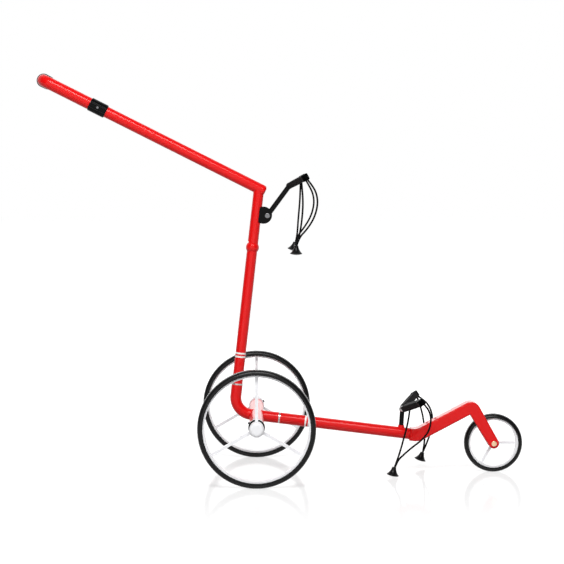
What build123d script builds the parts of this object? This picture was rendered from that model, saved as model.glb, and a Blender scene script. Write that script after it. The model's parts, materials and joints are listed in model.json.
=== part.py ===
from build123d import *
import math
import os

# A folding three-wheel golf push cart, in millimetres.
# X runs forward from the rear axle, Y to the cart's left and Z up from the floor.
# At the end everything is shifted along X, so that the middle of the cart is at X = 0.

# Rear wheels and axle
rear_wheel_radius = 145.0
rear_tyre_depth = 13.0
rear_tyre_width = 36.0
rear_rim_depth = 4.5
rear_rim_width = 28.0
rear_hub_radius = 17.0
rear_hub_width = 40.0
rear_spoke_width = 7.5
rear_spoke_thickness = 9.0
rear_first_spoke = 90.0
spoke_count = 3
track = 600.0
tyre_edge_radius = 10.0
tread_groove_width = 1.6
tread_groove_depth = 1.2
tread_groove_spacing = 4.0
stub_radius = 6.0
stub_insertion = 66.0
stub_shoulder_radius = 8.5
stub_head_radius = 8.0
stub_head_thickness = 3.0
rear_bearing_radius = 14.0
rear_bearing_width = 8.0
hub_cap_radius = 18.5
hub_cap_thickness = 10.0
hub_cap_edge = 8.5
hub_cap_room = 1.6
housing_radius = 18.0
housing_wall = 2.0
socket_flange_radius = 20.5
socket_flange_width = 14.0
socket_plug_length = 62.0
socket_gap = 8.0
seal_thickness = 2.5
latch_radius = 3.0
latch_inner_end = 8.5
latch_outer_end = 24.0
latch_edge_radius = 1.5
right_latch_angle = 150.0
left_latch_angle = 30.0

# Front wheel, spine and fork
wheelbase = 610.5
front_wheel_radius = 75.0
front_tyre_depth = 11.0
front_tyre_width = 29.0
front_rim_depth = 5.0
front_rim_width = 22.0
front_hub_radius = 12.0
front_hub_width = 34.0
front_spoke_width = 6.5
front_spoke_thickness = 7.0
front_first_spoke = 0.0
front_bearing_radius = 9.0
front_bearing_width = 6.0
front_axle_radius = 4.0
front_bolt_head_radius = 7.0
front_bolt_head_thickness = 4.5
front_bolt_edge_radius = 1.5
front_nut_thickness = 6.0
bolt_key_radius = 3.2
bolt_key_depth = 2.4
spacer_radius = 7.0
bend_to_front_axle = 196.0
spine_angle = 27.8
spine_length = 158.8
spine_depth = 31.0
spine_wall = 2.4
spine_edge_radius = 4.0
spine_socket = 20.0
tube_end_gap = 7.75
spine_under_bend_radius = 45.0
spine_upper_bend_radius = 30.0
crown_back = 30.0
fork_top_depth = 31.5
fork_end_depth = 26.7
fork_leg_thickness = 7.5
fork_side_gap = 1.5
fork_corner_radius = 25.0
wheel_arch_gap = 6.0

# Frame tubes and mast
frame_tube_radius = 14.3
frame_tube_wall = 2.0
tube_over_axle = 1.7
lower_tube_drop = 7.03
bend_corner_x = -58.2
bend_radius = 44.0
elbow_rise = 72.0
mast_lean = 6.4
mast_radius = 13.5
mast_wall = 2.0
spigot_length = 36.0
spigot_depth = 18.0
trim_ring_width = 4.0
trim_ring_height = 0.35
lower_ring_x = 58.0

# Fold knuckle in the mast
knuckle_height = 428.0
knuckle_radius = 16.8
tongue_half = 6.0
neck_half_depth = 10.0
knuckle_web = 3.6
knuckle_room = 0.4
knuckle_relief_angle = 130.0
stud_cover = 4.0
knob_seat = 15.0
knuckle_bolt_radius = 4.0
knob_radius = 14.0
knob_thickness = 14.0
knob_thread = 10.5
knob_groove_radius = 3.0
knob_groove_count = 8
knob_gap = 0.5

# Handle
elbow_height = 579.6
elbow_skirt = 13.0
elbow_skirt_radius = 13.9
handle_nose = 18.0
handle_nose_edge = 8.0
handle_slope = 26.65
handle_length = 619.3
handle_radius = 14.35
handle_wall = 1.5
handle_overlap = 60.0
clamp_distance = 461.0
clamp_length = 47.0
clamp_radius = 17.5
clamp_chamfer = 2.0
clamp_flute_count = 10
clamp_flute_radius = 3.0
clamp_flute_depth = 0.9
clamp_screw_radius = 3.0
clamp_screw_depth = 1.2
clamp_screw_proud = 0.5
grip_tube_radius = 15.5
grip_bend_radius = 24.0
grip_leg = 150.0
hand_grip_radius = 17.8
hand_grip_start = 25.0
hand_grip_edge = 2.0
grip_plug_thickness = 5.0
grip_plug_insertion = 14.0

# Bag cradles
upper_arm_forward = 44.0
lower_arm_forward = 50.0
arm_spread = 108.0
arm_radius = 4.5
pad_width = 19.0
pad_thickness = 16.5
pad_edge_radius = 2.5
pad_start = 13.0
cap_proud = 0.6
cap_thickness = 5.5
cap_edge_radius = 1.8
peg_radius = 3.2
peg_length = 4.0
peg_head_radius = 5.0
peg_head_length = 2.5
yoke_hub_radius = 8.5
upper_yoke_tilt = 28.4
upper_rod_radius = 6.5
upper_rod_angle = 53.6
upper_rod_length = 95.0
bracket_height = 513.5
bracket_bolt_offset = 29.1
base_radius = 22.0
base_offset = 19.0
base_half_width = 12.0
base_back = 7.0
base_web = 4.5
eye_radius = 7.5
bracket_bolt_radius = 3.0
bracket_bolt_head_radius = 7.0
bracket_bolt_head_thickness = 4.0
bracket_bolt_edge_radius = 2.0
bracket_nut_radius = 6.0
bracket_nut_thickness = 5.0
lower_yoke_tilt = 33.7
post_to_bend = 42.5
lower_post_lean = 3.6
lower_yoke_height = 162.0
lower_post_radius = 6.0
collar_radius = 9.5
collar_top_radius = 7.8
collar_height = 5.5

# Elastic cords and their pull toggles
cord_radius = 2.4
bend_share = 0.45
toggle_base_radius = 15.5
toggle_neck_radius = 5.0
toggle_height = 24.0
toggle_dome = 3.0
toggle_rim = 4.8
toggle_waist_radius = 8.6
toggle_waist_height = 13.0

# Clearances
running_gap = 0.05
sliding_gap = 0.3
side_gap = 0.3
end_gap = 0.2

# Places that follow from the sizes
axle = Vector(0, 0, rear_wheel_radius)
front_axle = Vector(wheelbase, 0, front_wheel_radius)
half_track = track / 2
mast_up = Vector(0, 0, 1).rotate(Axis.Y, mast_lean)
mast_out = Vector(1, 0, 0).rotate(Axis.Y, mast_lean)
tube_forward = Vector(1, 0, 0).rotate(Axis.Y, lower_tube_drop)
spine_up = Vector(1, 0, 0).rotate(Axis.Y, -spine_angle)
handle_up = Vector(-1, 0, 0).rotate(Axis.Y, handle_slope)
side_way = Vector(0, 1, 0)
tube_slope = math.tan(math.radians(lower_tube_drop))


def tube_point(x):
    return Vector(x, 0, rear_wheel_radius + tube_over_axle - tube_slope * x)


bend_corner = tube_point(bend_corner_x)
front_bend_x = wheelbase - bend_to_front_axle
lower_post_x = front_bend_x - post_to_bend
front_bend = tube_point(front_bend_x)
peak = front_bend + spine_up * spine_length
knuckle = bend_corner + mast_up * knuckle_height
elbow = bend_corner + mast_up * elbow_height
grip_corner = elbow + handle_up * handle_length
bracket_pivot = bend_corner + mast_up * bracket_height + mast_out * bracket_bolt_offset
rod_way = Vector(1, 0, 0).rotate(Axis.Y, -upper_rod_angle)
upper_yoke_way = Vector(1, 0, 0).rotate(Axis.Y, -upper_yoke_tilt)
lower_yoke_way = Vector(1, 0, 0).rotate(Axis.Y, -lower_yoke_tilt)
upper_crotch = bracket_pivot + rod_way * upper_rod_length
post_foot = tube_point(lower_post_x)
post_way = Vector(0, 0, 1).rotate(Axis.Y, lower_post_lean)
lower_crotch = post_foot + post_way * (lower_yoke_height - post_foot.Z)
fork_half_gap = front_hub_width / 2 + fork_side_gap
fork_half_width = fork_half_gap + fork_leg_thickness
knuckle_gap = knuckle_radius + knuckle_room
tube_end = knuckle_gap + knuckle_web
housing_half = half_track - rear_hub_width / 2 - socket_gap - socket_flange_width
handle_top = clamp_distance + handle_overlap
grip_start = clamp_distance

nodes = {}


def rod(start, end, radius):
    way = end - start
    upright = Cylinder(radius, way.length, align=(Align.CENTER, Align.CENTER, Align.MIN))
    return Plane(origin=start, z_dir=way) * upright


def pipe(start, end, outer, inner):
    return rod(start, end, outer) - rod(start, end, inner)


def cross_rod(centre, low, high, radius):
    return rod(Vector(centre.X, low, centre.Z), Vector(centre.X, high, centre.Z), radius)


def cross_pipe(centre, low, high, outer, inner):
    return cross_rod(centre, low, high, outer) - cross_rod(centre, low, high, inner)


def cone(start, end, start_radius, end_radius):
    way = end - start
    upright = Cone(start_radius, end_radius, way.length, align=(Align.CENTER, Align.CENTER, Align.MIN))
    return Plane(origin=start, z_dir=way) * upright


def bent_rod(points, bend, radius):
    path = FilletPolyline(*points, radius=bend)
    section = Plane(origin=path @ 0, z_dir=path % 0) * Circle(radius)
    return sweep(section, path=path)


def bent_pipe(points, bend, outer, inner):
    return bent_rod(points, bend, outer) - bent_rod(points, bend, inner)


def flat(place):
    return (place.X, place.Z)


def side_plate(face, half_width):
    return extrude(Plane.XZ * face, amount=half_width, both=True)


def slab(centre, along, low, high, half_depth, half_width):
    # A block on the centre plane that runs along a direction, from low to high.
    frame = Plane(origin=centre, x_dir=along, z_dir=-side_way)
    block = Box(high - low, 2 * half_depth, 2 * half_width, align=(Align.MIN, Align.CENTER, Align.CENTER))
    return frame * (Pos(low, 0, 0) * block)


def crossing(first, first_way, second, second_way):
    # Where two lines on the centre plane meet.
    gap = second - first
    turn = first_way.X * second_way.Z - first_way.Z * second_way.X
    reach = (gap.X * second_way.Z - gap.Z * second_way.X) / turn
    return first + first_way * reach


def upright_of(way):
    # The direction square to a way on the centre plane, on its upper or outer side.
    return Vector(-way.Z, 0, way.X)


def key_hole(centre, face):
    # A six-sided key hole, sunk into a bolt head that faces the cart's right.
    hexagon = Pos(centre.X, centre.Z) * RegularPolygon(bolt_key_radius, 6)
    return extrude(Plane.XZ.offset(-face) * hexagon, amount=-bolt_key_depth)


def tyre(centre, middle, radius, depth, width):
    inner = radius - depth
    outline = Rectangle(depth, width, align=(Align.MIN, Align.CENTER))
    outline = Pos(inner, 0) * outline
    outline = fillet(outline.vertices().group_by(Axis.X)[-1], tyre_edge_radius)
    for step in (-1, 0, 1):
        groove = Rectangle(2 * tread_groove_depth, tread_groove_width)
        outline -= Pos(radius, step * tread_groove_spacing) * groove
    ring = revolve(outline, Axis.Y)
    return Pos(centre.X, middle, centre.Z) * ring


def spoked_wheel(centre, middle, rim_outer, rim_depth, rim_width, hub, hub_width, bore, spoke):
    spoke_width, spoke_thickness, first_spoke = spoke
    low = middle - rim_width / 2
    high = middle + rim_width / 2
    wheel = cross_pipe(centre, low, high, rim_outer, rim_outer - rim_depth)
    wheel += cross_rod(centre, middle - hub_width / 2, middle + hub_width / 2, hub)
    reach = rim_outer - rim_depth / 2
    for number in range(spoke_count):
        angle = first_spoke + number * 360 / spoke_count
        way = Vector(1, 0, 0).rotate(Axis.Y, -angle)
        bar = slab(centre, way, 0, reach, spoke_width / 2, spoke_thickness / 2)
        wheel += Pos(0, middle, 0) * bar
    return wheel - cross_rod(centre, middle - hub_width, middle + hub_width, bore)


def bearing_pair(centre, middle, hub_width, width, outer, inner):
    # Two plain rings, flush with the two faces of the hub.
    rings = []
    for side in (-1, 1):
        face = middle + side * hub_width / 2
        inside = face - side * width
        rings.append(cross_pipe(centre, min(face, inside), max(face, inside), outer, inner))
    return rings


def rear_wheel(name, side):
    middle = side * half_track
    hub_half = rear_hub_width / 2
    rim_outer = rear_wheel_radius - rear_tyre_depth
    spoke = (rear_spoke_width, rear_spoke_thickness, rear_first_spoke)
    nodes[name + "_tyre"] = tyre(axle, middle, rear_wheel_radius, rear_tyre_depth, rear_tyre_width)
    nodes[name + "_wheel"] = spoked_wheel(
        axle, middle, rim_outer, rear_rim_depth, rear_rim_width,
        rear_hub_radius, rear_hub_width, rear_bearing_radius, spoke)
    nodes[name + "_bearings"] = bearing_pair(
        axle, middle, rear_hub_width, rear_bearing_width, rear_bearing_radius, stub_radius + running_gap)
    hub_face = middle + side * hub_half
    cap = rod(
        Vector(0, hub_face, axle.Z), Vector(0, hub_face + side * hub_cap_thickness, axle.Z), hub_cap_radius)
    outer_edge = cap.edges().filter_by(GeomType.CIRCLE).sort_by_distance((0, side * track, axle.Z))[0]
    cap = fillet(outer_edge, hub_cap_edge)
    room_radius = stub_head_radius + hub_cap_room
    room_depth = end_gap + stub_head_thickness + hub_cap_room
    cap -= rod(
        Vector(0, hub_face, axle.Z), Vector(0, hub_face + side * room_depth, axle.Z), room_radius)
    nodes[name + "_hub_cap"] = cap


def rear_stub(name, side):
    # The quick-release axle: a shaft with a shoulder, and a head that keeps the bearings on it.
    hub_inner = half_track - rear_hub_width / 2
    hub_outer = half_track + rear_hub_width / 2
    socket_face = housing_half + socket_flange_width

    def stretch(low, high, radius):
        return rod(Vector(0, side * low, axle.Z), Vector(0, side * high, axle.Z), radius)

    stub = stretch(socket_face - stub_insertion, hub_outer + end_gap, stub_radius)
    stub += stretch(socket_face, hub_inner - end_gap, stub_shoulder_radius)
    stub += stretch(hub_outer + end_gap, hub_outer + end_gap + stub_head_thickness, stub_head_radius)
    nodes[name + "_stub_axle"] = stub


def axle_socket(name, side, angle):
    # The end fitting of the axle housing, with a cross hole for the release button.
    socket_face = housing_half + socket_flange_width
    way = Vector(1, 0, 0).rotate(Axis.Y, -angle)
    middle = Vector(0, side * (housing_half + socket_flange_width / 2), axle.Z)

    def stretch(low, high, radius):
        return rod(Vector(0, side * low, axle.Z), Vector(0, side * high, axle.Z), radius)

    socket = stretch(housing_half, socket_face, socket_flange_radius)
    socket += stretch(housing_half - socket_plug_length, housing_half, housing_radius - housing_wall)
    socket -= stretch(housing_half - 2 * socket_plug_length, 2 * socket_face, stub_radius + running_gap)
    socket -= rod(middle, middle + way * 2 * socket_flange_radius, latch_radius + sliding_gap)
    nodes[name + "_axle_socket"] = socket
    button = rod(middle + way * latch_inner_end, middle + way * latch_outer_end, latch_radius)
    outer_edge = button.edges().filter_by(GeomType.CIRCLE).sort_by_distance(middle)[-1]
    nodes[name + "_latch_button"] = fillet(outer_edge, latch_edge_radius)


def rear_axle():
    nodes["axle_housing"] = cross_pipe(
        axle, -housing_half, housing_half, housing_radius, housing_radius - housing_wall)
    socket_face = housing_half + socket_flange_width
    seal_face = socket_face + seal_thickness
    seal_bore = stub_shoulder_radius + sliding_gap
    nodes["axle_seals"] = [
        cross_pipe(axle, -seal_face, -socket_face, socket_flange_radius, seal_bore),
        cross_pipe(axle, socket_face, seal_face, socket_flange_radius, seal_bore),
    ]
    for name, side, angle in (("right", -1, right_latch_angle), ("left", 1, left_latch_angle)):
        axle_socket(name, side, angle)
        rear_stub(name, side)
        rear_wheel(name, side)


def frame_tubes():
    # One bent line of tube, parted where the axle housing is welded across it.
    tube_front = front_bend - tube_forward * tube_end_gap
    line = [bend_corner + mast_up * elbow_rise, bend_corner, tube_front]
    inner = frame_tube_radius - frame_tube_wall
    whole = bent_pipe(line, bend_radius, frame_tube_radius, inner)
    whole -= cross_rod(axle, -housing_half, housing_half, housing_radius)
    pieces = whole.solids().sort_by(Axis.X)
    nodes["frame_elbow"] = pieces[0]
    nodes["lower_tube"] = pieces[-1]

    mast_start = bend_corner + mast_up * elbow_rise
    mast_end = knuckle - mast_up * tube_end
    nodes["mast_tube"] = pipe(mast_start, mast_end, mast_radius, mast_radius - mast_wall)
    spigot = rod(mast_start - mast_up * spigot_depth, mast_start, inner - running_gap)
    mast_bore = mast_radius - mast_wall - running_gap
    spigot += rod(mast_start, mast_start + mast_up * spigot_length, mast_bore)
    nodes["mast_spigot"] = spigot

    ring_low = tube_point(lower_ring_x) - tube_forward * trim_ring_width / 2
    ring_outer = frame_tube_radius + trim_ring_height
    nodes["trim_rings"] = [
        pipe(mast_start, mast_start + mast_up * trim_ring_width, ring_outer, mast_radius),
        pipe(ring_low, ring_low + tube_forward * trim_ring_width, ring_outer, frame_tube_radius),
    ]


def fold_knuckle():
    # A ball in the mast: two cheeks on the lower mast, a tongue on the upper mast and a stud through them.
    reach = 2 * knuckle_radius
    ball = Pos(*knuckle) * Sphere(knuckle_radius)
    below = knuckle - mast_up * tube_end
    slot_half = tongue_half + side_gap
    stud_start = stud_cover - knuckle_radius
    lower = rod(below, knuckle, mast_radius) + ball
    lower -= cross_rod(knuckle, -slot_half, slot_half, knuckle_gap)
    lower -= slab(knuckle, mast_up, 0, reach, reach, slot_half)
    lower -= cross_rod(knuckle, knob_seat, reach, reach)
    lower += rod(below - mast_up * spigot_length, below, mast_radius - mast_wall - running_gap)
    lower -= cross_rod(knuckle, stud_start, reach, knuckle_bolt_radius)
    nodes["knuckle_cheeks"] = lower

    # The relief at the back of the upper tube clears the lower tube when the mast folds back.
    above = knuckle + mast_up * tube_end
    relief = mast_out.rotate(Axis.Y, -knuckle_relief_angle)
    upper = rod(knuckle, above, mast_radius) - Pos(*knuckle) * Sphere(knuckle_gap)
    upper -= slab(knuckle + upright_of(relief) * reach, relief, 0, 2 * reach, reach, reach)
    upper += ball & slab(knuckle, mast_up, -reach, reach, reach, tongue_half)
    upper += slab(knuckle, mast_up, 0, tube_end, neck_half_depth, tongue_half)
    upper += rod(above, above + mast_up * spigot_length, mast_radius - mast_wall - running_gap)
    upper -= cross_rod(knuckle, -reach, reach, knuckle_bolt_radius + running_gap)
    nodes["knuckle_tongue"] = upper

    knob_low = knob_seat + knob_gap
    bolt_end = knob_low + knob_thread
    nodes["knuckle_bolt"] = cross_rod(knuckle, stud_start, bolt_end, knuckle_bolt_radius)
    knob = cross_rod(knuckle, knob_low, knob_low + knob_thickness, knob_radius)
    knob -= cross_rod(knuckle, knob_low, bolt_end + end_gap, knuckle_bolt_radius + running_gap)
    for number in range(knob_groove_count):
        way = Vector(1, 0, 0).rotate(Axis.Y, number * 360 / knob_groove_count)
        groove = knuckle + way * (knob_radius + knob_groove_radius / 2)
        knob -= cross_rod(groove, knob_low, knob_low + knob_thickness, knob_groove_radius)
    nodes["fold_knob"] = knob


def handle():
    # The handle tube ends in a closed nose just past the mast, with a skirt that sits on the mast's end.
    skirt_end = elbow - mast_up * elbow_skirt
    mast_start = knuckle + mast_up * tube_end
    nodes["upper_mast_tube"] = pipe(mast_start, skirt_end, mast_radius, mast_radius - mast_wall)
    nose = elbow - handle_up * handle_nose
    handle_end = elbow + handle_up * handle_top
    tube = rod(nose, handle_end, handle_radius)
    nose_edge = tube.edges().filter_by(GeomType.CIRCLE).sort_by_distance(nose)[0]
    tube = fillet(nose_edge, handle_nose_edge)
    tube += rod(skirt_end, elbow, elbow_skirt_radius)
    tube -= slab(elbow, mast_up, -3 * elbow_skirt, -elbow_skirt, 2 * handle_radius, 2 * handle_radius)
    tube -= rod(nose + handle_up * handle_nose_edge, handle_end, handle_radius - handle_wall)
    tube -= rod(skirt_end, elbow, mast_radius - mast_wall)
    nodes["handle_tube"] = tube

    grip_bore = handle_radius + sliding_gap
    leg_end = grip_corner + side_way * grip_leg
    line = [elbow + handle_up * grip_start, grip_corner, leg_end]
    nodes["grip_tube"] = bent_pipe(line, grip_bend_radius, grip_tube_radius, grip_bore)
    grip = pipe(grip_corner + side_way * hand_grip_start, leg_end, hand_grip_radius, grip_tube_radius)
    rims = grip.edges().filter_by(GeomType.CIRCLE).group_by(SortBy.RADIUS)[-1]
    nodes["hand_grip"] = fillet(rims, hand_grip_edge)
    plug = rod(leg_end, leg_end + side_way * grip_plug_thickness, hand_grip_radius - hand_grip_edge)
    plug = fillet(plug.edges().sort_by(Axis.Y)[-1], hand_grip_edge)
    plug += rod(leg_end - side_way * grip_plug_insertion, leg_end, grip_bore - running_gap)
    nodes["grip_end_plug"] = plug


def handle_clamp():
    # A black sleeve that covers the lower end of the grip tube and grips the handle tube.
    low = elbow + handle_up * (clamp_distance - clamp_length / 2)
    high = elbow + handle_up * (clamp_distance + clamp_length / 2)
    step = elbow + handle_up * (grip_start - side_gap)
    sleeve = chamfer(rod(low, high, clamp_radius).edges().filter_by(GeomType.CIRCLE), clamp_chamfer)
    sleeve -= rod(low, step, handle_radius + sliding_gap)
    sleeve -= rod(step, high, grip_tube_radius + sliding_gap)
    square = handle_up.cross(side_way)
    for number in range(clamp_flute_count):
        angle = number * 360 / clamp_flute_count
        turned = square * math.cos(math.radians(angle)) + side_way * math.sin(math.radians(angle))
        away = turned * (clamp_radius + clamp_flute_radius - clamp_flute_depth)
        sleeve -= rod(low + away, high + away, clamp_flute_radius)
    middle = elbow + handle_up * clamp_distance
    seat = middle - side_way * (clamp_radius - clamp_screw_depth)
    top = middle - side_way * (clamp_radius + clamp_screw_proud)
    sleeve -= rod(seat, middle - side_way * 2 * clamp_radius, clamp_screw_radius)
    nodes["clamp_sleeve"] = sleeve
    nodes["clamp_screw"] = rod(seat, top, clamp_screw_radius)


def spine_outline(inset):
    # The side view of the spine: a short socket on the lower tube, a bend, and the rising beam.
    half = spine_depth / 2 - inset
    tube_top = upright_of(tube_forward)
    spine_top = upright_of(spine_up)
    start = front_bend - tube_forward * spine_socket
    end = peak - spine_up * (crown_back + inset)
    upper_bend = crossing(front_bend + tube_top * half, tube_forward, peak + spine_top * half, spine_up)
    under_bend = crossing(front_bend - tube_top * half, tube_forward, peak - spine_top * half, spine_up)
    corners = [
        start + tube_top * half, upper_bend, end + spine_top * half,
        end - spine_top * half, under_bend, start - tube_top * half,
    ]
    face = make_face(Polyline(*[flat(corner) for corner in corners], close=True))
    upper = face.vertices().sort_by_distance((upper_bend.X, upper_bend.Z, 0))[0]
    face = fillet(upper, spine_upper_bend_radius + inset)
    under = face.vertices().sort_by_distance((under_bend.X, under_bend.Z, 0))[0]
    return fillet(under, spine_under_bend_radius - inset)


def round_sides(plate, joint):
    # Rounds the edges of a plate's two sides, but not where it meets its neighbour at the joint.
    edges = plate.faces().filter_by(Axis.Y).edges()
    free = edges.filter_by(lambda edge: abs((edge.center() - joint).dot(spine_up)) > end_gap)
    return fillet(free, spine_edge_radius)


def front_spine():
    # A flat beam, as wide as the fork that carries it on.
    half_width = fork_half_width
    spine = side_plate(spine_outline(0), half_width)
    spine = round_sides(spine, peak - spine_up * crown_back)
    hollow = side_plate(spine_outline(spine_wall), half_width - spine_wall)
    start = front_bend - tube_forward * spine_socket
    tube_front = front_bend - tube_forward * tube_end_gap
    hollow -= slab(start, tube_forward, -spine_socket, (tube_front - start).length, spine_depth, 2 * half_width)
    spine -= hollow
    spine -= rod(start - tube_forward * spine_socket, tube_front, frame_tube_radius + running_gap)
    nodes["front_spine"] = spine


def front_fork():
    # The crown carries on from the spine and parts into two legs, one on each side of the wheel.
    leg_way = (front_axle - peak).normalized()
    leg_out = upright_of(leg_way)
    spine_top = upright_of(spine_up)
    half = spine_depth / 2
    back = peak - spine_up * crown_back
    outer_top = peak + leg_out * fork_top_depth / 2
    inner_top = peak - leg_out * fork_top_depth / 2
    outer_end = front_axle + leg_out * fork_end_depth / 2
    inner_end = front_axle - leg_out * fork_end_depth / 2
    outer_corner = crossing(back + spine_top * half, spine_up, outer_top, outer_end - outer_top)
    inner_corner = crossing(back - spine_top * half, spine_up, inner_top, inner_end - inner_top)
    corners = [
        back + spine_top * half, outer_corner, outer_end,
        inner_end, inner_corner, back - spine_top * half,
    ]
    face = make_face(Polyline(*[flat(corner) for corner in corners], close=True))
    bend = face.vertices().sort_by_distance((outer_corner.X, outer_corner.Z, 0))[0]
    face = fillet(bend, fork_corner_radius)
    face += Pos(front_axle.X, front_axle.Z) * Circle(fork_end_depth / 2)
    fork = side_plate(face, fork_half_width)
    fork = round_sides(fork, back)
    fork -= cross_rod(front_axle, -fork_half_gap, fork_half_gap, front_wheel_radius + wheel_arch_gap)
    fork -= cross_rod(front_axle, -fork_half_width, fork_half_width, front_axle_radius + running_gap)
    nodes["front_fork"] = fork


def front_wheel():
    hub_half = front_hub_width / 2
    rim_outer = front_wheel_radius - front_tyre_depth
    spoke = (front_spoke_width, front_spoke_thickness, front_first_spoke)
    nodes["front_tyre"] = tyre(front_axle, 0, front_wheel_radius, front_tyre_depth, front_tyre_width)
    nodes["front_wheel"] = spoked_wheel(
        front_axle, 0, rim_outer, front_rim_depth, front_rim_width,
        front_hub_radius, front_hub_width, front_bearing_radius, spoke)
    nodes["front_bearings"] = bearing_pair(
        front_axle, 0, front_hub_width, front_bearing_width,
        front_bearing_radius, front_axle_radius + running_gap)
    nodes["front_axle_spacers"] = [
        cross_pipe(front_axle, -fork_half_gap, -hub_half - end_gap, spacer_radius, front_axle_radius),
        cross_pipe(front_axle, hub_half + end_gap, fork_half_gap, spacer_radius, front_axle_radius),
    ]
    nut_end = fork_half_width + front_nut_thickness
    bolt = cross_rod(front_axle, -fork_half_width, nut_end, front_axle_radius)
    head_face = -fork_half_width - front_bolt_head_thickness
    head = cross_rod(front_axle, head_face, -fork_half_width, front_bolt_head_radius)
    head_edge = head.edges().filter_by(GeomType.CIRCLE).sort_by(Axis.Y)[0]
    head = fillet(head_edge, front_bolt_edge_radius)
    nodes["front_axle_bolt"] = bolt + head - key_hole(front_axle, head_face)
    hexagon = Pos(front_axle.X, front_axle.Z) * RegularPolygon(front_bolt_head_radius, 6)
    nut = extrude(Plane.XZ.offset(-fork_half_width) * hexagon, amount=-front_nut_thickness)
    nodes["front_axle_nut"] = nut - cross_rod(front_axle, 0, 2 * nut_end, front_axle_radius)


def arm_bar(start, way, over, length, width, thickness, corner):
    # A bar with a rounded rectangular section along an arm. Its thickness is square to the cradle's plane.
    frame = Plane(origin=start, x_dir=over.cross(way), z_dir=way)
    return frame * extrude(RectangleRounded(width, thickness, corner), amount=length)


def cradle(name, crotch, forward, arm_forward):
    # A V of two arms, each with a straight-sided pad, an end cap and a peg for the cord.
    over = forward.cross(side_way)
    yoke = Pos(*crotch) * Sphere(yoke_hub_radius)
    pads = []
    caps = []
    for side in (-1, 1):
        reach = forward * arm_forward + side_way * side * arm_spread
        way = reach.normalized()
        tip = crotch + reach
        cap_start = tip - way * cap_thickness
        pad_foot = crotch + way * pad_start
        yoke += rod(crotch, cap_start, arm_radius)
        pad_length = (cap_start - pad_foot).length
        pad = arm_bar(pad_foot, way, over, pad_length, pad_width, pad_thickness, pad_edge_radius)
        pads.append(pad - rod(crotch, tip, arm_radius))
        cap = arm_bar(
            cap_start, way, over, cap_thickness, pad_width + 2 * cap_proud, pad_thickness + 2 * cap_proud,
            pad_edge_radius + cap_proud)
        ends = cap.faces().sort_by_distance(crotch)
        cap = fillet(ends[0].edges() + ends[-1].edges(), cap_edge_radius)
        cap += rod(tip, tip + way * peg_length, peg_radius)
        peg_top = tip + way * peg_length
        cap += rod(peg_top, peg_top + way * peg_head_length, peg_head_radius)
        caps.append(cap)
    nodes[name + "_yoke"] = yoke
    nodes[name + "_pads"] = pads
    nodes[name + "_pad_caps"] = caps


def upper_bracket():
    base_centre = bend_corner + mast_up * bracket_height + mast_out * base_offset
    foot = bend_corner + mast_up * bracket_height
    base = cross_rod(base_centre, -base_half_width, base_half_width, base_radius)
    base -= slab(foot, mast_out, -2 * base_radius, base_back, 2 * base_radius, 2 * base_half_width)
    base -= rod(foot - mast_up * 2 * base_radius, foot + mast_up * 2 * base_radius, mast_radius)
    web_face = mast_radius + base_web
    slot_half = upper_rod_radius + side_gap
    base -= slab(foot, mast_out, web_face, 4 * base_radius, 2 * base_radius, slot_half)
    base -= cross_rod(bracket_pivot, -2 * base_half_width, 2 * base_half_width, bracket_bolt_radius)
    nodes["bracket_base"] = base

    nut_end = base_half_width + bracket_nut_thickness
    bolt = cross_rod(bracket_pivot, -base_half_width, nut_end, bracket_bolt_radius)
    head_face = -base_half_width - bracket_bolt_head_thickness
    head = cross_rod(bracket_pivot, head_face, -base_half_width, bracket_bolt_head_radius)
    head_edge = head.edges().filter_by(GeomType.CIRCLE).sort_by(Axis.Y)[0]
    head = fillet(head_edge, bracket_bolt_edge_radius)
    nodes["bracket_bolt"] = bolt + head - key_hole(bracket_pivot, head_face)
    hexagon = Pos(bracket_pivot.X, bracket_pivot.Z) * RegularPolygon(bracket_nut_radius, 6)
    nut = extrude(Plane.XZ.offset(-base_half_width) * hexagon, amount=-bracket_nut_thickness)
    nodes["bracket_nut"] = nut - cross_rod(bracket_pivot, 0, 2 * nut_end, bracket_bolt_radius)

    arm = rod(bracket_pivot, upper_crotch, upper_rod_radius)
    arm += cross_rod(bracket_pivot, -upper_rod_radius, upper_rod_radius, eye_radius)
    bolt_hole = bracket_bolt_radius + running_gap
    arm -= cross_rod(bracket_pivot, -base_half_width, base_half_width, bolt_hole)
    nodes["bracket_rod"] = arm - Pos(*upper_crotch) * Sphere(yoke_hub_radius)
    cradle("upper", upper_crotch, upper_yoke_way, upper_arm_forward)


def lower_bracket():
    tube_surface = rod(tube_point(lower_post_x / 2), front_bend, frame_tube_radius)
    collar_high = post_foot + post_way * (frame_tube_radius + collar_height)
    collar = cone(post_foot, collar_high, collar_radius, collar_top_radius) - tube_surface
    post = rod(post_foot, lower_crotch, lower_post_radius) - tube_surface
    collar -= rod(post_foot, lower_crotch, lower_post_radius)
    nodes["lower_post_collar"] = collar
    nodes["lower_post"] = post - Pos(*lower_crotch) * Sphere(yoke_hub_radius)
    cradle("lower", lower_crotch, lower_yoke_way, lower_arm_forward)


def toggle(apex, foot):
    # A flared pull: a narrow neck, a waist, a wide rim and a slightly domed base.
    dome = ThreePointArc((0, 0), (toggle_base_radius / 2, toggle_dome / 4), (toggle_base_radius, toggle_dome))
    flare = ThreePointArc(
        (toggle_neck_radius, toggle_height),
        (toggle_waist_radius, toggle_waist_height),
        (toggle_base_radius, toggle_rim))
    outline = make_face([
        dome,
        Line((toggle_base_radius, toggle_dome), (toggle_base_radius, toggle_rim)),
        flare,
        Line((toggle_neck_radius, toggle_height), (0, toggle_height)),
        Line((0, toggle_height), (0, 0)),
    ])
    upright = revolve(Plane.XZ * outline, Axis.Z)
    way = (apex - foot).normalized()
    return Plane(origin=apex - way * toggle_height, z_dir=way) * upright


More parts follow.
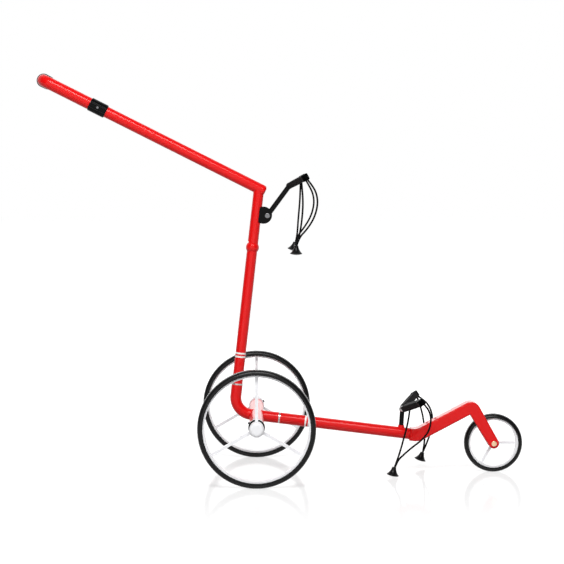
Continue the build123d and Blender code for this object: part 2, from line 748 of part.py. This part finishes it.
def strand(name, points):
    # One strand of elastic: straight runs joined by arcs as large as the runs allow.
    places = [Vector(*point) for point in points]
    radii = []
    for before, here, after in zip(places, places[1:], places[2:]):
        turn = (here - before).get_angle(after - here)
        shorter = min((here - before).length, (after - here).length)
        radii.append(bend_share * shorter / math.tan(math.radians(turn) / 2))
    path = FilletPolyline(*places, radius=radii)
    section = Plane(origin=path @ 0, z_dir=path % 0) * Circle(cord_radius)
    print(name, "strand length", round(path.length))
    return sweep(section, path=path)


# The routes of the cords, from the pad that each strand leaves down to the neck of its toggle.
# Each loop has a straight strand and a curved one.
cord_routes = {
    "upper_right_cord": (
        [(114.2, -62.1, 747.4), (117.0, -63.5, 718.0), (118.0, -66.0, 688.0), (115.5, -70.0, 654.0),
         (111.0, -74.0, 622.0), (105.5, -76.5, 602.0), (100.9, -77.4, 582.0)],
        [(126.6, -97.2, 755.4), (141.0, -96.0, 738.0), (152.0, -94.0, 717.0), (155.0, -91.5, 690.0),
         (146.5, -88.5, 657.0), (128.5, -86.0, 628.0), (106.5, -83.0, 605.0), (100.9, -82.6, 582.0)]),
    "upper_left_cord": (
        [(114.2, 62.1, 747.4), (113.5, 64.0, 716.0), (111.5, 66.5, 684.0), (108.5, 70.5, 650.0),
         (106.5, 74.0, 618.0), (104.5, 76.5, 603.0), (101.0, 77.4, 587.0)],
        [(126.6, 97.2, 755.4), (139.0, 96.0, 735.5), (148.5, 94.0, 714.0), (150.5, 91.5, 689.0),
         (142.0, 88.5, 657.0), (124.0, 86.0, 628.0), (106.5, 83.0, 606.0), (101.0, 82.6, 587.0)]),
    "lower_right_cord": (
        [(393.2, -32.4, 165.5), (389.5, -42.0, 142.0), (382.0, -57.0, 114.0), (372.5, -74.0, 86.0),
         (362.0, -91.0, 55.0), (353.0, -103.0, 34.0), (348.4, -107.4, 22.0)],
        [(421.6, -103.2, 186.8), (431.5, -106.5, 176.5), (439.0, -107.5, 162.0), (441.5, -108.5, 141.0),
         (436.0, -109.5, 117.0), (419.0, -110.5, 95.0), (391.0, -111.5, 74.5), (364.5, -112.3, 51.0),
         (356.0, -112.5, 40.5), (348.4, -112.6, 22.0)]),
    "lower_left_cord": (
        [(420.5, 91.8, 185.0), (429.0, 94.0, 162.0), (436.0, 97.0, 137.0), (441.0, 100.5, 107.0),
         (442.5, 103.5, 80.0), (441.0, 105.8, 55.0), (437.0, 107.4, 33.0)],
        [(421.6, 103.2, 186.8), (434.5, 106.5, 178.0), (449.5, 107.5, 165.5), (460.5, 108.5, 145.0),
         (464.0, 109.5, 119.0), (459.0, 110.5, 90.0), (449.0, 111.5, 61.0), (437.0, 112.6, 33.0)]),
}

# Each toggle runs from its neck, where its two strands go in, to the middle of its rim.
toggle_places = {
    "upper_right_toggle": ((100.9, -80.0, 586.0), (100.4, -80.0, 564.0)),
    "upper_left_toggle": ((101.0, 80.0, 591.0), (95.7, 80.0, 570.0)),
    "lower_right_toggle": ((348.4, -110.0, 26.0), (343.9, -110.0, 4.0)),
    "lower_left_toggle": ((437.0, 110.0, 36.0), (429.7, 110.0, 14.0)),
}


def elastic_cords():
    for name, routes in cord_routes.items():
        nodes[name] = [strand(name, points) for points in routes]
    for name, (apex, foot) in toggle_places.items():
        nodes[name] = toggle(Vector(*apex), Vector(*foot))


frame_tubes()
rear_axle()
fold_knuckle()
handle()
handle_clamp()
front_spine()
front_fork()
front_wheel()
upper_bracket()
lower_bracket()
elastic_cords()

rear_reach = grip_corner.X - hand_grip_radius
front_reach = front_axle.X + front_wheel_radius
to_middle = Pos(-(rear_reach + front_reach) / 2, 0, 0)
print("shift along X", -(rear_reach + front_reach) / 2)

os.makedirs("parts", exist_ok=True)
for name, shape in nodes.items():
    solids = shape if isinstance(shape, list) else [shape]
    moved = Compound(children=[to_middle * Part(solid.wrapped) for solid in solids])
    export_step(moved, "parts/" + name + ".step")
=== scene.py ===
import json
import math

import bmesh
import bpy
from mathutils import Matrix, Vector


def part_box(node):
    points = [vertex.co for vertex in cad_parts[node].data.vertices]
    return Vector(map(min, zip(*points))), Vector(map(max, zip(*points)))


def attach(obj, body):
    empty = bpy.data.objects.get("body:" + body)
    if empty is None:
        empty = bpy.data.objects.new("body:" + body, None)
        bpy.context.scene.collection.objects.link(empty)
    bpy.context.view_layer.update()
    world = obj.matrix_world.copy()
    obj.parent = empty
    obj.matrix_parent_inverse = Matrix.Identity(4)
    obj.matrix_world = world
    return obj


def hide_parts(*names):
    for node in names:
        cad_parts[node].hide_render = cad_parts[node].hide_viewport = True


# A folding golf push cart with red painted tubes, slim black tyres and black bag cradles.
# Everything is in metres. X runs forward, Y to the cart's left and Z up from the floor.

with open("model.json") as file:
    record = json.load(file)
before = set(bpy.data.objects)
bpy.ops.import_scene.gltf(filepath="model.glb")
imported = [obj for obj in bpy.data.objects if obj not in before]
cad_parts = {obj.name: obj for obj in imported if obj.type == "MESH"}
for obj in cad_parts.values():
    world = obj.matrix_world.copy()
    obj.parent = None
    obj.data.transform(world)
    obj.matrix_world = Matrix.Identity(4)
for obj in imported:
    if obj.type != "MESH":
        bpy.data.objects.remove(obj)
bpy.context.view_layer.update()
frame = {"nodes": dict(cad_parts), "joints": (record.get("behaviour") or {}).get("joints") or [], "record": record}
nodes = frame["nodes"]
joints = {joint["name"]: joint for joint in frame["joints"]}
mounts = {mount["name"]: mount for mount in frame["record"]["mounts"]}

rear_axle = Vector(joints["right_wheel_spin"]["pos_m"])
rear_axle.y = 0
across = Vector((0, 1, 0))


# Sizes of the dressed pieces

cord_radius = 0.0024
cord_ring_step = 0.0007
cord_sides = 20
braid_strands = 4
braid_pitch = 0.0062
braid_relief = 0.00014

arm_forward = {"upper": 0.044, "lower": 0.050}
arm_spread = 0.108
crotch_to_rest = 0.040
pad_start = 0.013
pad_width = 0.019
pad_thickness = 0.0165
pad_corner = 0.0025
pad_corner_steps = 6
pad_core = 0.0045
pad_cap = 0.0055
pad_roll = 0.0012
pad_crown = 0.0005
pad_rings = 40

grip_rib_count = 26
grip_rib_steps = 6
grip_rib_height = 0.0005
grip_roll = 0.0015
grip_wall = 0.0023
grip_sides = 64

stripe_width = 0.0044
mast_stripe_heights = (0.3067, 0.2980)
tube_stripe_places = (0.1256, 0.1340)
mast_lean = math.radians(6.4)
lower_tube_drop = math.radians(7.03)


# Light

lamps = {
    "key": {"place": (-0.2, -2.9, 3.6), "size": (2.8, 1.6), "power": 158.0},
    "fill": {"place": (-0.6, -4.6, 1.2), "size": (6.8, 4.2), "power": 92.0},
    "back": {"place": (0.6, 4.6, 1.7), "size": (6.0, 3.4), "power": 80.0},
}
lamp_aim = (0.0, 0.0, 0.45)
room_light = 0.14
backdrop_start = -0.2
backdrop_full = 0.4
floor_reach = 40.0
floor_shade = 0.40
floor_glow_near = 0.70
floor_glow_far = 1.15
floor_near = 0.4
floor_far = 2.0
floor_mirror = 0.15
floor_polish = 0.08


# Camera

camera_place = Vector((0, -5.436, 0.737))
camera_pitch = math.radians(2.60)
camera_yaw = math.radians(0.69)
focal_pixels = 2116.0
photo_side = 564.0
sensor = 36.0


def place_camera():
    data = bpy.data.cameras.new("camera")
    data.sensor_width = sensor
    data.lens = focal_pixels / photo_side * sensor
    camera = bpy.data.objects.new("camera", data)
    bpy.context.scene.collection.objects.link(camera)
    camera.location = camera_place + Vector((rear_axle.x, 0, 0))
    camera.rotation_euler = (math.pi / 2 - camera_pitch, 0, -camera_yaw)
    bpy.context.scene.camera = camera


# Shader building

class Signal:
    """One output of a node. Arithmetic on it adds Math nodes to the same graph."""

    def __init__(self, graph, socket):
        self.graph = graph
        self.socket = socket

    def maths(self, operation, *values):
        return self.graph.node("ShaderNodeMath", {"operation": operation}, dict(enumerate(values)))

    def __sub__(self, other):
        return self.maths("SUBTRACT", self, other)

    def __rsub__(self, other):
        return self.maths("SUBTRACT", other, self)

    def __mul__(self, other):
        return self.maths("MULTIPLY", self, other)

    def __rmul__(self, other):
        return self.maths("MULTIPLY", other, self)

    def __abs__(self):
        return self.maths("ABSOLUTE", self)

    def __lt__(self, other):
        return self.maths("LESS_THAN", self, other)

    def most(self, other):
        return self.maths("MAXIMUM", self, other)


class Graph:
    """The nodes of a material or of the world, and one method that adds any node."""

    def __init__(self, tree):
        self.tree = tree

    def node(self, kind, settings=None, inputs=None, output=0):
        made = self.tree.nodes.new(kind)
        for name, value in (settings or {}).items():
            setattr(made, name, value)
        for name, value in (inputs or {}).items():
            self.feed(made.inputs[name], value)
        return Signal(self, made.outputs[output])

    def feed(self, socket, value):
        if isinstance(value, Signal):
            self.tree.links.new(value.socket, socket)
        else:
            socket.default_value = value

    def ray(self, kind):
        return self.node("ShaderNodeLightPath", output="Is " + kind + " Ray")

    def reflected(self):
        """One for the rays that carry the white background into gloss and glass."""
        return self.ray("Glossy").most(self.ray("Transmission"))


class Finish(Graph):
    """A material with one Principled shader."""

    def __init__(self, name):
        self.material = bpy.data.materials.new(name)
        self.material.use_nodes = True
        super().__init__(self.material.node_tree)
        self.shader = self.tree.nodes["Principled BSDF"]

    def surface(self, **sockets):
        for name, value in sockets.items():
            self.feed(self.shader.inputs[name.replace("_", " ")], value)

    def place(self):
        return self.node("ShaderNodeTexCoord", output="Object")

    def noise(self, scale, detail=3.0, where=None):
        inputs = {"Vector": where or self.place(), "Scale": scale, "Detail": detail}
        return self.node("ShaderNodeTexNoise", None, inputs)

    def cells(self, scale):
        return self.node("ShaderNodeTexVoronoi", None, {"Vector": self.place(), "Scale": scale})

    def along(self, direction):
        inputs = {0: self.place(), 1: tuple(direction)}
        return self.node("ShaderNodeVectorMath", {"operation": "DOT_PRODUCT"}, inputs, "Value")

    def mix(self, factor, first, second):
        inputs = {0: factor, 6: first, 7: second}
        return self.node("ShaderNodeMix", {"data_type": "RGBA"}, inputs, 2)

    def spread(self, signal, low, high):
        inputs = {"Value": signal, "To Min": low, "To Max": high}
        return self.node("ShaderNodeMapRange", None, inputs)

    def bump(self, height, strength, distance):
        inputs = {"Height": height, "Strength": strength, "Distance": distance}
        return self.node("ShaderNodeBump", None, inputs)


def colour(red, green, blue):
    """A colour written as it shows on screen, from 0 to 255, turned into light values."""
    def light(value):
        share = value / 255
        return share / 12.92 if share <= 0.04045 else ((share + 0.055) / 1.055) ** 2.4
    return (light(red), light(green), light(blue), 1.0)


# Finishes

paint_red = colour(230, 16, 16)
paint_deep = colour(220, 11, 13)
stripe_white = colour(245, 243, 240)
paint_patch_scale = 7.0
paint_sheen_scale = 40.0
paint_roughness = (0.30, 0.38)
paint_ripple_scale = 70.0
paint_ripple_strength = 0.02
paint_ripple_depth = 0.0005
coat_roughness = 0.12

dust_scale = 45.0
grain_depth = 0.0003

cast_light = colour(243, 243, 245)
cast_dark = colour(235, 235, 238)
cast_cloud_scale = 22.0
cast_roughness = (0.28, 0.40)
cast_grain_scale = 700.0
cast_grain_strength = 0.04
cast_grain_depth = 0.0004

metal_patch = 24
metal_cloud_scale = 30.0
scratch_scales = (1800.0, 120.0, 1800.0)
scratch_strength = 0.08
scratch_depth = 0.0003


def red_paint(name, stripes=None, gloss=0.06, lacquer=0.3):
    """Smooth red enamel. Stripes are white bands across a direction."""
    paint = Finish(name)
    base = paint.mix(paint.noise(paint_patch_scale, detail=2.0), paint_red, paint_deep)
    if stripes is not None:
        direction, centres = stripes
        reach = paint.along(direction)
        first, second = [abs(reach - centre) < stripe_width / 2 for centre in centres]
        base = paint.mix(first.most(second), base, stripe_white)
    sheen = paint.noise(paint_sheen_scale, detail=4.0)
    ripple = paint.noise(paint_ripple_scale, detail=1.0)
    paint.surface(
        Base_Color=base, Roughness=paint.spread(sheen, *paint_roughness),
        Normal=paint.bump(ripple, paint_ripple_strength, paint_ripple_depth), Specular_IOR_Level=gloss,
        Coat_Weight=lacquer, Coat_Roughness=coat_roughness)
    return paint.material


def black_finish(name, grain, dark, worn, rough, gloss, relief):
    """A black surface with a fine grain and slightly greyer patches."""
    black = Finish(name)
    dust = black.noise(dust_scale, detail=5.0)
    base = black.mix(dust, colour(dark, dark, dark + 1), colour(worn, worn, worn + 1))
    black.surface(
        Base_Color=base, Roughness=black.spread(dust, *rough),
        Normal=black.bump(black.cells(grain), relief, grain_depth), Specular_IOR_Level=gloss)
    return black.material


def cast_metal():
    """Pale cast alloy with faint clouds and a fine grain."""
    metal = Finish("bright_cast_metal")
    cloud = metal.noise(cast_cloud_scale, detail=4.0)
    grain = metal.noise(cast_grain_scale)
    metal.surface(
        Base_Color=metal.mix(cloud, cast_light, cast_dark), Roughness=metal.spread(cloud, *cast_roughness),
        Normal=metal.bump(grain, cast_grain_strength, cast_grain_depth))
    return metal.material


def satin_metal(name, tint, rough):
    """Bare metal with fine lengthwise scratches and slightly darker patches."""
    metal = Finish(name)
    cloud = metal.noise(metal_cloud_scale, detail=4.0)
    stretched = metal.node("ShaderNodeMapping", None, {"Vector": metal.place(), "Scale": scratch_scales})
    scratches = metal.noise(1.0, detail=2.0, where=stretched)
    base = metal.mix(cloud, colour(*tint), colour(*[shade - metal_patch for shade in tint]))
    metal.surface(
        Base_Color=base, Roughness=metal.spread(scratches, *rough),
        Normal=metal.bump(scratches, scratch_strength, scratch_depth), Metallic=1.0)
    return metal.material


def dress(material, *names):
    for name in names:
        shown = nodes[name].data
        shown.materials.clear()
        shown.materials.append(material)


# Mesh helpers

def add_piece(name, mesh, material, body, slot, *replaced):
    piece = bpy.data.objects.new(name, mesh)
    bpy.context.scene.collection.objects.link(piece)
    mesh.materials.append(material)
    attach(piece, body)
    if replaced:
        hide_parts(*replaced)
    return piece


def rings_to_mesh(name, rings, closed):
    """Joins rings of points into one skin. A closed skin joins its last ring to its first."""
    build = bmesh.new()
    loops = [[build.verts.new(point) for point in ring] for ring in rings]
    pairs = list(zip(loops, loops[1:]))
    if closed:
        pairs.append((loops[-1], loops[0]))
    for first, second in pairs:
        count = len(first)
        for side in range(count):
            after = (side + 1) % count
            build.faces.new((first[side], first[after], second[after], second[side]))
    if not closed:
        build.faces.new(list(reversed(loops[0])))
        build.faces.new(loops[-1])
    bmesh.ops.recalc_face_normals(build, faces=build.faces)
    mesh = bpy.data.meshes.new(name)
    build.to_mesh(mesh)
    build.free()
    for face in mesh.polygons:
        face.use_smooth = True
    return mesh


def turned(name, start, way, profile, sides):
    """A closed section of (distance along, radius) pairs, turned about a line."""
    along = way.normalized()
    square = along.orthogonal().normalized()
    other = along.cross(square)
    turns = [2 * math.pi * side / sides for side in range(sides)]
    spokes = [square * math.cos(turn) + other * math.sin(turn) for turn in turns]
    rings = []
    for distance, radius in profile:
        middle = start + along * distance
        rings.append([middle + spoke * radius for spoke in spokes])
    return rings_to_mesh(name, rings, True)


# Cords

cord_material = black_finish(
    "braided_elastic", grain=2200.0, dark=6, worn=14, rough=(0.60, 0.80), gloss=0.06, relief=0.20)

# Each route runs from a pad down to the neck of a toggle, measured from the rear axle.
cord_routes = {
    "upper_right_straight": [
        (0.1142, -0.0621, 0.7474), (0.1170, -0.0635, 0.7180), (0.1180, -0.0660, 0.6880),
        (0.1155, -0.0700, 0.6540), (0.1110, -0.0740, 0.6220), (0.1055, -0.0765, 0.6020),
        (0.1009, -0.0774, 0.5820)],
    "upper_right_curved": [
        (0.1266, -0.0972, 0.7554), (0.1410, -0.0960, 0.7380), (0.1520, -0.0940, 0.7170),
        (0.1550, -0.0915, 0.6900), (0.1465, -0.0885, 0.6570), (0.1285, -0.0860, 0.6280),
        (0.1065, -0.0830, 0.6050), (0.1009, -0.0826, 0.5820)],
    "upper_left_straight": [
        (0.1142, 0.0621, 0.7474), (0.1135, 0.0640, 0.7160), (0.1115, 0.0665, 0.6840),
        (0.1085, 0.0705, 0.6500), (0.1065, 0.0740, 0.6180), (0.1045, 0.0765, 0.6030),
        (0.1010, 0.0774, 0.5870)],
    "upper_left_curved": [
        (0.1266, 0.0972, 0.7554), (0.1390, 0.0960, 0.7355), (0.1485, 0.0940, 0.7140),
        (0.1505, 0.0915, 0.6890), (0.1420, 0.0885, 0.6570), (0.1240, 0.0860, 0.6280),
        (0.1065, 0.0830, 0.6060), (0.1010, 0.0826, 0.5870)],
    "lower_right_straight": [
        (0.3932, -0.0324, 0.1655), (0.3895, -0.0420, 0.1420), (0.3820, -0.0570, 0.1140),
        (0.3725, -0.0740, 0.0860), (0.3620, -0.0910, 0.0550), (0.3530, -0.1030, 0.0340),
        (0.3484, -0.1074, 0.0220)],
    "lower_right_curved": [
        (0.4216, -0.1032, 0.1868), (0.4315, -0.1065, 0.1765), (0.4390, -0.1075, 0.1620),
        (0.4415, -0.1085, 0.1410), (0.4360, -0.1095, 0.1170), (0.4190, -0.1105, 0.0950),
        (0.3910, -0.1115, 0.0745), (0.3645, -0.1123, 0.0510), (0.3560, -0.1125, 0.0405),
        (0.3484, -0.1126, 0.0220)],
    "lower_left_straight": [
        (0.4205, 0.0918, 0.1850), (0.4290, 0.0940, 0.1620), (0.4360, 0.0970, 0.1370),
        (0.4410, 0.1005, 0.1070), (0.4425, 0.1035, 0.0800), (0.4410, 0.1058, 0.0550),
        (0.4370, 0.1074, 0.0330)],
    "lower_left_curved": [
        (0.4216, 0.1032, 0.1868), (0.4345, 0.1065, 0.1780), (0.4495, 0.1075, 0.1655),
        (0.4605, 0.1085, 0.1450), (0.4640, 0.1095, 0.1190), (0.4590, 0.1105, 0.0900),
        (0.4490, 0.1115, 0.0610), (0.4370, 0.1126, 0.0330)],
}
route_resolution = 24
route_order = 3


def smooth_route(name, points):
    """The points of one smooth curve that the route's own points control."""
    data = bpy.data.curves.new(name + "_route", "CURVE")
    data.dimensions = "3D"
    data.resolution_u = route_resolution
    spline = data.splines.new("NURBS")
    spline.points.add(len(points) - 1)
    for knot, point in zip(spline.points, points):
        knot.co = (*point, 1.0)
    spline.order_u = route_order
    spline.use_endpoint_u = True
    route = bpy.data.objects.new(name + "_route", data)
    mesh = bpy.data.meshes.new_from_object(route)
    places = [vertex.co.copy() for vertex in mesh.vertices]
    bpy.data.meshes.remove(mesh)
    bpy.data.objects.remove(route)
    bpy.data.curves.remove(data)
    return places


def even_steps(places, step):
    """Points at even steps along a line of close points."""
    total = sum((second - first).length for first, second in zip(places, places[1:]))
    count = round(total / step)
    wanted = [total * number / count for number in range(count + 1)]
    steps = []
    walked = 0.0
    index = 0
    for goal in wanted:
        while index < len(places) - 2 and walked + (places[index + 1] - places[index]).length < goal:
            walked += (places[index + 1] - places[index]).length
            index += 1
        run = places[index + 1] - places[index]
        steps.append(places[index] + run * ((goal - walked) / run.length))
    return steps


def braided_cord(name, points, body, node, toggle):
    """A round elastic with a braided sleeve: two sets of helical strands that cross."""
    route = smooth_route(name, points)
    steps = even_steps(route, cord_ring_step)
    side = across.copy()
    rings = []
    for number, middle in enumerate(steps):
        before = steps[max(number - 1, 0)]
        after = steps[min(number + 1, len(steps) - 1)]
        way = (after - before).normalized()
        side = (side - way * side.dot(way)).normalized()
        other = way.cross(side)
        wound = 2 * math.pi * number * cord_ring_step / braid_pitch
        ring = []
        for corner in range(cord_sides):
            turn = 2 * math.pi * corner / cord_sides
            right = abs(math.cos((turn * braid_strands + wound) / 2))
            left = abs(math.cos((turn * braid_strands - wound) / 2))
            radius = cord_radius - braid_relief * (1 - max(right, left))
            ring.append(middle + (side * math.cos(turn) + other * math.sin(turn)) * radius)
        rings.append(ring)
    mesh = rings_to_mesh(name, rings, False)
    cord = add_piece(name, mesh, cord_material, body, "elastic_cord", node)


def elastic_cords():
    for name, points in cord_routes.items():
        level, side, _ = name.split("_")
        body = "upper_cradle" if level == "upper" else "frame"
        moved = [Vector(point) + Vector((rear_axle.x, 0, 0)) for point in points]
        braided_cord(name, moved, body, level + "_" + side + "_cord", nodes[level + "_" + side + "_toggle"])


# Pads and hand grip

foam_material = black_finish(
    "soft_black_foam", grain=1100.0, dark=10, worn=20, rough=(0.60, 0.80), gloss=0.08, relief=0.20)


def rolled_edge(edge, roll):
    """How far a rounded end drops the surface at a distance from that end."""
    return 0.0 if edge >= roll else roll - math.sqrt(roll ** 2 - (roll - edge) ** 2)


def ribbed_sleeve(length, radius, core, ribs, rib_height, roll):
    """The section of a soft sleeve: rolled ends and close ribs."""
    profile = [(0.0, core)]
    steps = ribs * grip_rib_steps
    for number in range(steps + 1):
        share = number / steps
        distance = length * share
        edge = min(distance, length - distance)
        drop = rolled_edge(edge, roll)
        rib = rib_height * (0.5 - 0.5 * math.cos(2 * math.pi * ribs * share))
        profile.append((distance, radius - rib_height + rib - drop))
    return profile + [(length, core)]


def bar_section(inset):
    """The corners of a rounded rectangle, inset all round, as (across, through) pairs."""
    half_width = pad_width / 2 - pad_corner
    half_thickness = pad_thickness / 2 - pad_corner
    radius = pad_corner - inset
    points = []
    for quarter, (right, up) in enumerate(((1, 1), (-1, 1), (-1, -1), (1, -1))):
        for step in range(pad_corner_steps):
            turn = math.pi / 2 * (quarter + step / (pad_corner_steps - 1))
            points.append((right * half_width + radius * math.cos(turn),
                           up * half_thickness + radius * math.sin(turn)))
    return points


def pad_mesh(name, start, way, over, length):
    """A soft bar on an arm: a slight crown, rolled ends and a round hole along the middle."""
    side = over.cross(way)
    rings = []
    for number in range(pad_rings + 1):
        share = number / pad_rings
        distance = length * (0.5 - 0.5 * math.cos(math.pi * share))
        edge = min(distance, length - distance)
        drop = rolled_edge(edge, pad_roll)
        inset = drop + pad_crown * (1 - math.sin(math.pi * distance / length))
        middle = start + way * distance
        rings.append([middle + side * x + over * y for x, y in bar_section(inset)])
    for end in (length, 0.0):
        middle = start + way * end
        hole = []
        for x, y in bar_section(0.0):
            out = Vector((x, y)).normalized() * pad_core
            hole.append(middle + side * out.x + over * out.y)
        rings.append(hole)
    return rings_to_mesh(name, rings, True)


def cradle_pads():
    for level, body in (("upper", "upper_cradle"), ("lower", "frame")):
        mount = mounts[level + "_cradle_rest"]
        forward = Vector(mount["axis"]).normalized()
        over = forward.cross(across)
        crotch = Vector(mount["pos_m"]) - forward * crotch_to_rest
        for name, side in (("right", -1), ("left", 1)):
            reach = forward * arm_forward[level] + across * side * arm_spread
            way = reach.normalized()
            length = reach.length - pad_cap - pad_start
            mesh = pad_mesh(level + "_" + name + "_pad", crotch + way * pad_start, way, over, length)
            pad = add_piece(mesh.name, mesh, foam_material, body, "grip_rubber", level + "_pads")


def hand_grip():
    low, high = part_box("hand_grip")
    length = high.y - low.y
    radius = (high.x - low.x) / 2
    start = Vector(((low.x + high.x) / 2, low.y, (low.z + high.z) / 2))
    profile = ribbed_sleeve(length, radius, radius - grip_wall, grip_rib_count, grip_rib_height, grip_roll)
    mesh = turned("ribbed_hand_grip", start, across, profile, grip_sides)
    grip = add_piece(mesh.name, mesh, foam_material, "handle_end", "grip_rubber", "hand_grip")


# Floor and light

def floor():
    build = bmesh.new()
    bmesh.ops.create_grid(build, x_segments=2, y_segments=2, size=floor_reach)
    mesh = bpy.data.meshes.new("floor")
    build.to_mesh(mesh)
    build.free()
    ground = bpy.data.objects.new("floor", mesh)
    bpy.context.scene.collection.objects.link(ground)
    pale = Finish("pale_floor")
    away = pale.node("ShaderNodeVectorMath", {"operation": "LENGTH"}, {0: pale.place()}, "Value")
    glow = pale.node("ShaderNodeMapRange", {"interpolation_type": "SMOOTHSTEP"}, {
        "Value": away, "From Min": floor_near, "From Max": floor_far,
        "To Min": floor_glow_near, "To Max": floor_glow_far})
    seen = pale.ray("Camera").most(pale.reflected())
    pale.surface(
        Base_Color=(floor_shade, floor_shade, floor_shade, 1.0), Roughness=0.9, Specular_IOR_Level=0.0,
        Emission_Color=pale.mix(seen * glow, (0.0, 0.0, 0.0, 1.0), (1.0, 1.0, 1.0, 1.0)),
        Emission_Strength=1.0)
    mirror = pale.node("ShaderNodeBsdfGlossy", None, {"Roughness": floor_polish})
    plain = Signal(pale, pale.shader.outputs["BSDF"])
    joined = pale.node("ShaderNodeMixShader", None, {0: floor_mirror, 1: plain, 2: mirror})
    pale.feed(pale.tree.nodes["Material Output"].inputs["Surface"], joined)
    mesh.materials.append(pale.material)


def soft_lamp(name, place, size, power):
    data = bpy.data.lights.new(name, "AREA")
    data.shape = "RECTANGLE"
    data.size, data.size_y = size
    data.energy = power
    lamp = bpy.data.objects.new(name, data)
    bpy.context.scene.collection.objects.link(lamp)
    lamp.location = place
    lamp.rotation_euler = (Vector(lamp_aim) - Vector(place)).to_track_quat("-Z", "Y").to_euler()


def studio():
    """A white backdrop behind the cart, a dim room in front of it, and soft lamps."""
    world = bpy.data.worlds.new("studio")
    world.use_nodes = True
    bpy.context.scene.world = world
    room = Graph(world.node_tree)
    background = room.tree.nodes["Background"]
    direction = room.node("ShaderNodeTexCoord", output="Generated")
    back = room.node("ShaderNodeSeparateXYZ", None, {"Vector": direction}, "Y")
    backdrop = room.node("ShaderNodeMapRange", {"interpolation_type": "SMOOTHSTEP"}, {
        "Value": back, "From Min": backdrop_start, "From Max": backdrop_full})
    level = room.ray("Camera").most(room.reflected() * backdrop).most(room_light)
    room.feed(background.inputs["Strength"], level)
    background.inputs["Color"].default_value = (1.0, 1.0, 1.0, 1.0)
    for name, lamp in lamps.items():
        soft_lamp(name, **lamp)


place_camera()
elastic_cords()
cradle_pads()
hand_grip()

mast_way = Vector((math.sin(mast_lean), 0, math.cos(mast_lean)))
tube_way = Vector((math.cos(lower_tube_drop), 0, -math.sin(lower_tube_drop)))
knuckle = Vector(joints["mast_fold"]["pos_m"])
mast_stripes = []
for height in mast_stripe_heights:
    mast_stripes.append(knuckle.dot(mast_way) - (knuckle.z - height) / math.cos(mast_lean))
tube_stripes = []
for place in tube_stripe_places:
    tube_stripes.append(rear_axle.dot(tube_way) + place / math.cos(lower_tube_drop))

dress(
    red_paint("red_enamel"),
    "frame_elbow", "knuckle_cheeks", "knuckle_tongue", "upper_mast_tube", "handle_tube", "grip_tube",
    "front_spine", "front_fork", "lower_post_collar")
dress(red_paint("glossy_red_enamel", gloss=0.25, lacquer=0.15), "axle_housing")
dress(red_paint("red_enamel_mast", (mast_way, mast_stripes)), "mast_tube")
dress(red_paint("red_enamel_lower_tube", (tube_way, tube_stripes)), "lower_tube")
dress(
    black_finish(
        "black_satin_paint", grain=900.0, dark=5, worn=11, rough=(0.30, 0.42), gloss=0.10, relief=0.05),
    "bracket_rod", "lower_post", "upper_yoke")
dress(
    black_finish(
        "grained_black_plastic", grain=1600.0, dark=3, worn=8, rough=(0.18, 0.28), gloss=0.08, relief=0.04),
    "axle_seals", "left_latch_button", "right_latch_button", "fold_knob", "clamp_sleeve", "grip_end_plug",
    "bracket_base", "upper_pad_caps", "lower_pad_caps", "front_axle_spacers")
dress(
    black_finish(
        "satin_black_toggle", grain=700.0, dark=4, worn=9, rough=(0.26, 0.38), gloss=0.18, relief=0.04),
    "upper_right_toggle", "upper_left_toggle", "lower_right_toggle", "lower_left_toggle")
dress(
    black_finish("tyre_rubber", grain=1400.0, dark=4, worn=10, rough=(0.22, 0.32), gloss=0.22, relief=0.06),
    "left_tyre", "right_tyre", "front_tyre")
dress(
    cast_metal(),
    "left_wheel", "right_wheel", "front_wheel", "left_hub_cap", "right_hub_cap",
    "left_axle_socket", "right_axle_socket")
dress(satin_metal("satin_yoke", tint=(196, 196, 197), rough=(0.30, 0.44)), "lower_yoke")
# The trim's grey is its own colour; the slight pink lean in its tint is a painted reflection of the red paint
# around it.
dress(satin_metal("polished_trim", tint=(196, 190, 188), rough=(0.14, 0.24)), "trim_rings", "mast_spigot")
dress(
    satin_metal("brushed_steel", tint=(200, 200, 201), rough=(0.22, 0.38)),
    "left_stub_axle", "right_stub_axle", "left_bearings", "right_bearings", "front_bearings")
# The cream tint on the front axle bolt and nut is a painted reflection of the red fork around them, not a plating.
dress(
    satin_metal("steel_with_painted_red_reflection", tint=(240, 206, 172), rough=(0.22, 0.36)),
    "front_axle_bolt", "front_axle_nut")
dress(
    satin_metal("dark_steel", tint=(128, 128, 130), rough=(0.20, 0.32)),
    "knuckle_bolt", "bracket_bolt", "bracket_nut", "clamp_screw")

floor()
studio()
bpy.context.scene.view_settings.view_transform = "Standard"
